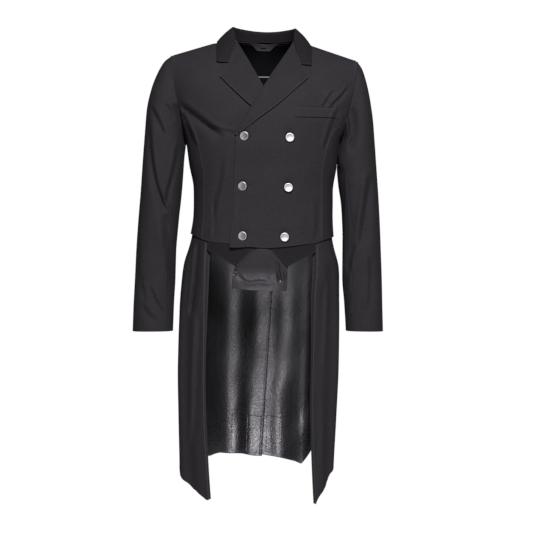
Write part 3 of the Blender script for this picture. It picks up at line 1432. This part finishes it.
# %% Pocket welt and neck
POCKET_LEFT, POCKET_RIGHT, POCKET_LEFT_Z, POCKET_RIGHT_Z, POCKET_DEEP = 70, 165.5, -171.6, -167, 21
LABEL_X, LABEL_TOP, LABEL_BOTTOM, LABEL_HIGH, LABEL_Z = -3.5, 34.5, 16, 15.5, 1.5
LOOP_TOP, LOOP_BOTTOM, LOOP_HIGH = 8.5, 7.5, 7
LABEL_LIFT = -(CLOTH + LINING + 2)
PIPING_ROW, PIPING_HALF, PIPING_THICK = 0.83, 0.0027, 1.6


def pocket_surface(s, t):
    top = lerp(POCKET_LEFT_Z, POCKET_RIGHT_Z, s)
    gape = 0.7 * smooth(t, 0.6, 1) * np.sin(np.pi * s) ** 2 * (1 + 0.6 * np.sin(17 * s))
    x = lerp(POCKET_LEFT, POCKET_RIGHT, s)
    return on_left_front(x, top - POCKET_DEEP * (1 - t), LINING + 1.2 + gape)


def neck_surface(half_top, half_bottom, high, lift):
    def surface(s, t):
        x = LABEL_X + lerp(1, -1, s) * lerp(half_bottom, half_top, t)
        return on_form(x, lerp(LABEL_Z - high, LABEL_Z, t), lift, True)

    return surface


cloth("welt_pocket", pocket_surface, SHELL, "shell_cloth", 2.2, thick=LINING)
inside_back = lifted(both_backs, LINED)
inside = {"across": (0.05, 0.95), "thick": LINING, "slot": "satin_lining", "material": INNER}
cloth("yoke_lining", inside_back, **inside, up=(PIPING_ROW + PIPING_HALF, 0.992), step=5.0)
cloth("back_lining", inside_back, **inside, up=(0.54, PIPING_ROW - PIPING_HALF), step=5.0)
piped = {"across": (0.05, 0.95), "thick": PIPING_THICK, "slot": "piping", "material": PIPING_CLOTH}
piping_rows = (PIPING_ROW - PIPING_HALF, PIPING_ROW + PIPING_HALF)
cloth("lining_piping", inside_back, **piped, up=piping_rows, step=1.2)
label = neck_surface(LABEL_TOP, LABEL_BOTTOM, LABEL_HIGH, LABEL_LIFT)
loop = neck_surface(LOOP_TOP, LOOP_BOTTOM, LOOP_HIGH, LABEL_LIFT - LINING - 0.8)
cloth("neck_label", label, LABEL_CLOTH, "label", 1.5, thick=LINING / 2)
cloth("hanger_loop", loop, LABEL_CLOTH, "shell_cloth", 1.2, thick=LINING)

# %% [markdown]
# ## Stitches
# The topstitching runs half a centimetre inside the worked edges. Every stitch is its own small grain of
# thread, set in the dip that the cloth already has there. A texture would do from afar, but close by the
# thread should stand on the cloth and end where the real line ends.


# %% Lines of stitches
def line_inside(node, edge, inset):
    """Points and outward directions along a line that runs inside an edge of a sheet."""
    panel = PANELS[node]
    values = np.concatenate([panel["grid"], panel["out"]], -1)
    far = panel["far"][edge]
    if edge in ("foot", "head"):
        values, far = values.swapaxes(0, 1), far.T
    picked = []
    for line, gap in zip(values, far):
        order = np.argsort(gap)
        picked.append([np.interp(inset, gap[order], line[order, k]) for k in range(6)])
    picked = np.array(picked)
    return picked[:, :3], unit(picked[:, 3:])


def add_stitch(bm, at, along, out, half_long, half_thick):
    aside = np.cross(out, along)
    columns = np.stack([along * half_long, aside * half_thick, out * half_thick * 0.8, at], 1) * MM
    matrix = Matrix([*columns.tolist(), [0, 0, 0, 1]])
    bmesh.ops.create_icosphere(bm, subdivisions=1, radius=1, matrix=matrix)


def sew_along(bm, points, outs, pitch, half_long, half_thick, ends):
    run = np.concatenate([[0], np.linalg.norm(np.diff(points, axis=0), axis=-1).cumsum()])
    places = np.arange(ends[0] + pitch / 2, run[-1] - ends[1], pitch)

    def at(values, place):
        return np.array([np.interp(place, run, values[:, k]) for k in range(3)])

    for place in places:
        here, along = at(points, place), unit(at(points, place + 0.6) - at(points, place - 0.6))
        out = at(outs, place)
        out = unit(out - along * (out @ along))
        add_stitch(bm, here + out * 0.04, along, out, half_long, half_thick)


def finished(name, bm, material):
    mesh = bpy.data.meshes.new(name)
    bm.to_mesh(mesh)
    bm.free()
    mesh.materials.append(material)
    mesh.shade_smooth()
    piece = bpy.data.objects.new(name, mesh)
    bpy.context.scene.collection.objects.link(piece)
    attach(piece, "root")
    return piece


STITCH_FACES = 20
SEWN_LINES = {
    "front_stitches": [
        ("front_left", "start", (0, 4)), ("front_left", "foot", (4, 0)),
        ("front_right", "end", (0, 4)), ("front_right", "foot", (0, 4)),
        ("side_left", "foot", (0, 0)), ("side_right", "foot", (0, 0)),
        ("back_left", "foot", (0, 0)), ("back_right", "foot", (0, 0)),
        ("waistcoat_point_left", "foot", (0, 0)), ("waistcoat_point_right", "foot", (0, 0)),
    ],
    "collar_stitches": [
        ("lapel_left", "end", (4, 10)), ("lapel_right", "start", (4, 10)),
        ("collar", "foot", (4, 4)), ("collar", "start", (4, 12)), ("collar", "end", (4, 12)),
    ],
    "cuff_stitches": [
        ("sleeve_top_left", "head", (0, 0)), ("sleeve_under_left", "head", (0, 0)),
        ("sleeve_top_right", "head", (0, 0)), ("sleeve_under_right", "head", (0, 0)),
    ],
    "tail_stitches": [
        ("tail_side_left", "start", (4, 0)), ("tail_side_right", "end", (4, 0)),
        ("tail_side_left", "foot", (4, 0)), ("tail_side_right", "foot", (0, 4)),
        ("tail_back_left", "end", (4, 0)), ("tail_back_right", "start", (4, 0)),
        ("tail_back_left", "foot", (0, 4)), ("tail_back_right", "foot", (4, 0)),
    ],
}
for name, lines in SEWN_LINES.items():
    bm = bmesh.new()
    for node, edge, ends in lines:
        sew_along(bm, *line_inside(node, edge, STITCH_IN), STITCH_PITCH, 1.15, 0.2, ends)
    piece = finished(name, bm, THREAD)
    print(name, len(piece.data.polygons) // STITCH_FACES, "stitches")

CLOSE_SEWN = {
    "welt_pocket": ("start", "end", "foot"),
    "weight_patch_left": ("start", "end", "head"),
    "weight_patch_right_1": ("start", "end", "head"),
    "weight_patch_right_2": ("start", "end", "head"),
}
bm = bmesh.new()
for node, edges in CLOSE_SEWN.items():
    for edge in edges:
        sew_along(bm, *line_inside(node, edge, CLOSE_IN), CLOSE_PITCH, 0.9, 0.17, (0, 0))
piece = finished("patch_stitches", bm, THREAD)
print("patch_stitches", len(piece.data.polygons) // STITCH_FACES, "stitches")

# %% [markdown]
# ## Buttons
# Six pressed metal buttons with a dished face close the coat. A button is round, so half its section is
# drawn once and spun about its axis. Each was sewn on by hand and leans a little its own way. The dish
# and the foot are marked with attributes: the dish is a little duller than the rim, and the foot, which
# no cloth ever polishes, is nearly black.

# %% Buttons and buttonholes
BUTTONS = {
    "button_1": (-41.3, -238, -6, 5),
    "button_2": (-43.9, -350, -6, 3),
    "button_3": (-41.2, -463.5, -6, 2),
    "button_4": (59.5, -239, -5, -4),
    "button_5": (57.9, -351.5, -6, -11),
    "button_6": (51.6, -464.5, -5, -5),
}
BUTTON_PROFILE = [
    (0, 0), (9.2, 0.1), (11.3, 0.3), (11.6, 0.6), (11.3, 0.9), (10.3, 1), (10.5, 1.3), (10.48, 1.8),
    (10.2, 2.4), (9.7, 2.8), (9.1, 3.0), (8.6, 3.05), (8.1, 3.0), (7.7, 2.9), (7.1, 2.8), (5.4, 2.6),
    (3.6, 2.46), (1.8, 2.38), (0, 2.36),
]
DISH_RADIUS, DISH_FROM, FOOT_TOP = 7.6, 2, 1.15
BUTTONHOLES = [(-29, -21, -238), (-30, -23, -349)]
STITCHES_ROUND, BUTTON_LIFT = 26, 2.8


def placed_on_front(x, z, lift):
    """A point on the left front and its outward direction there."""
    points = np.stack([on_left_front(x, z, lift), on_left_front(x, z, lift + 5)])
    points[:, 1] -= lap_flare(points)
    low, high = settle(points)
    return low, unit(high - low)


for node, (x, z, turn, tip) in BUTTONS.items():
    bm = bmesh.new()
    ring = [bm.verts.new((r * MM, 0, h * MM)) for r, h in BUTTON_PROFILE]
    edges = [bm.edges.new(pair) for pair in zip(ring, ring[1:])]
    bmesh.ops.spin(
        bm, geom=ring + edges, cent=(0, 0, 0), axis=(0, 0, 1), dvec=(0, 0, 0), angle=math.tau, steps=48,
        use_merge=True,
    )
    bmesh.ops.remove_doubles(bm, verts=bm.verts, dist=1e-6)
    bmesh.ops.recalc_face_normals(bm, faces=bm.faces)
    hollow = bm.verts.layers.float.new("hollow")
    foot = bm.verts.layers.float.new("foot")
    for vertex in bm.verts:
        radius = vertex.co.xy.length / MM
        vertex[foot] = float(vertex.co.z < FOOT_TOP * MM)
        dish = float(smooth(radius, DISH_RADIUS + 0.6, DISH_RADIUS - 0.8))
        vertex[hollow] = dish if vertex.co.z > DISH_FROM * MM else 0
    base, out = placed_on_front(x, z, BUTTON_LIFT)
    lean = Matrix.Rotation(math.radians(tip), 4, "X") @ Matrix.Rotation(math.radians(turn), 4, "Z")
    face_out = Vector(out.tolist()).to_track_quat("Z", "Y").to_matrix().to_4x4()
    bmesh.ops.transform(bm, verts=bm.verts, matrix=Matrix.Translation(base * MM) @ lean @ face_out)
    piece = finished(node + "_metal", bm, METAL)
    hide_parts(node)

bm = bmesh.new()
for left, right, z in BUTTONHOLES:
    turns = np.linspace(0, 2 * np.pi, STITCHES_ROUND, endpoint=False)
    middle, half = (left + right) / 2, (right - left) / 2
    for turn in turns:
        at, out = placed_on_front(middle + half * np.cos(turn), z + 1.1 * np.sin(turn), 0.1)
        inner, _ = placed_on_front(middle + half * 0.82 * np.cos(turn), z + 0.1 * np.sin(turn), 0.1)
        along = unit(at - inner)
        add_stitch(bm, at, unit(along - out * (out @ along)), out, 0.75, 0.26)
finished("buttonhole_stitches", bm, THREAD)
print("buttons:", len(BUTTONS), " buttonholes:", len(BUTTONHOLES))

# %% [markdown]
# ## Stage, light and camera
# The coat hangs in a pale studio before a white backdrop. A large soft light high in front models the
# folds. A weaker one low in front is seen only as glints, which is what makes the lining shine. The
# backdrop's white is kept off the cloth, so that its edges stay dark.

# %% Stage, lights and camera
BACKDROP_ON_CLOTH, FLOOR_Z = 0.045, -1.5
scene = bpy.context.scene
scene.view_settings.view_transform = "Standard"
world = bpy.data.worlds.new("studio")
scene.world = world
world.use_nodes = True
tree = world.node_tree
path = tree.nodes.new("ShaderNodeLightPath")
strength = tree.nodes.new("ShaderNodeMapRange")
strength.inputs["To Min"].default_value = BACKDROP_ON_CLOTH
strength.inputs["To Max"].default_value = 1.0
tree.links.new(path.outputs["Is Camera Ray"], strength.inputs["Value"])
tree.links.new(strength.outputs["Result"], tree.nodes["Background"].inputs["Strength"])
tree.nodes["Background"].inputs["Color"].default_value = (1, 1, 1, 1)

bm = bmesh.new()
matrix = Matrix.Translation((0, 0, FLOOR_Z)) @ Matrix.Diagonal((3.6, 1.8, 1, 1))
bmesh.ops.create_grid(bm, x_segments=1, y_segments=1, size=1, matrix=matrix)
floor_mesh = bpy.data.meshes.new("floor")
bm.to_mesh(floor_mesh)
bm.free()
floor = bpy.data.objects.new("floor", floor_mesh)
scene.collection.objects.link(floor)
pale, shader = new_material("pale_floor", Roughness=0.9)
place = add_node(pale, "TexCoord").outputs["Object"]
tone = blended(pale, noise(pale, place, 3.0), (0.78, 0.78, 0.78, 1), (0.82, 0.82, 0.82, 1))
floor_mesh.materials.append(finish_with(pale, shader, Base_Color=tone))


def area_light(name, at, aim, wide, high, watts, glints_only=False):
    lamp = bpy.data.lights.new(name, "AREA")
    lamp.shape, lamp.size, lamp.size_y, lamp.energy = "RECTANGLE", wide, high, watts
    light = bpy.data.objects.new(name, lamp)
    light.location = at
    light.rotation_euler = (Vector(aim) - Vector(at)).to_track_quat("-Z", "Y").to_euler()
    light.visible_diffuse = not glints_only
    scene.collection.objects.link(light)


area_light("key", (0.35, -3.2, 1.75), (0, 0, -0.6), 1.0, 0.6, 130)
area_light("fill", (0.0, -3.3, -1.6), (0, 0, -0.8), 0.44, 0.4, 17.5, glints_only=True)

CAMERA_AT, FRAME_WIDTH, CAMERA_ROLL = (0.0143, -3.6, -0.532), 1.247, 1.2
camera = bpy.data.objects.new("camera", bpy.data.cameras.new("camera"))
camera.data.sensor_width = 36
camera.data.lens = 36 * -CAMERA_AT[1] / FRAME_WIDTH
camera.location = CAMERA_AT
roll = Matrix.Rotation(math.radians(90), 4, "X") @ Matrix.Rotation(math.radians(CAMERA_ROLL), 4, "Z")
camera.rotation_euler = roll.to_euler()
scene.collection.objects.link(camera)
scene.camera = camera
print("lights:", len(bpy.data.lights))
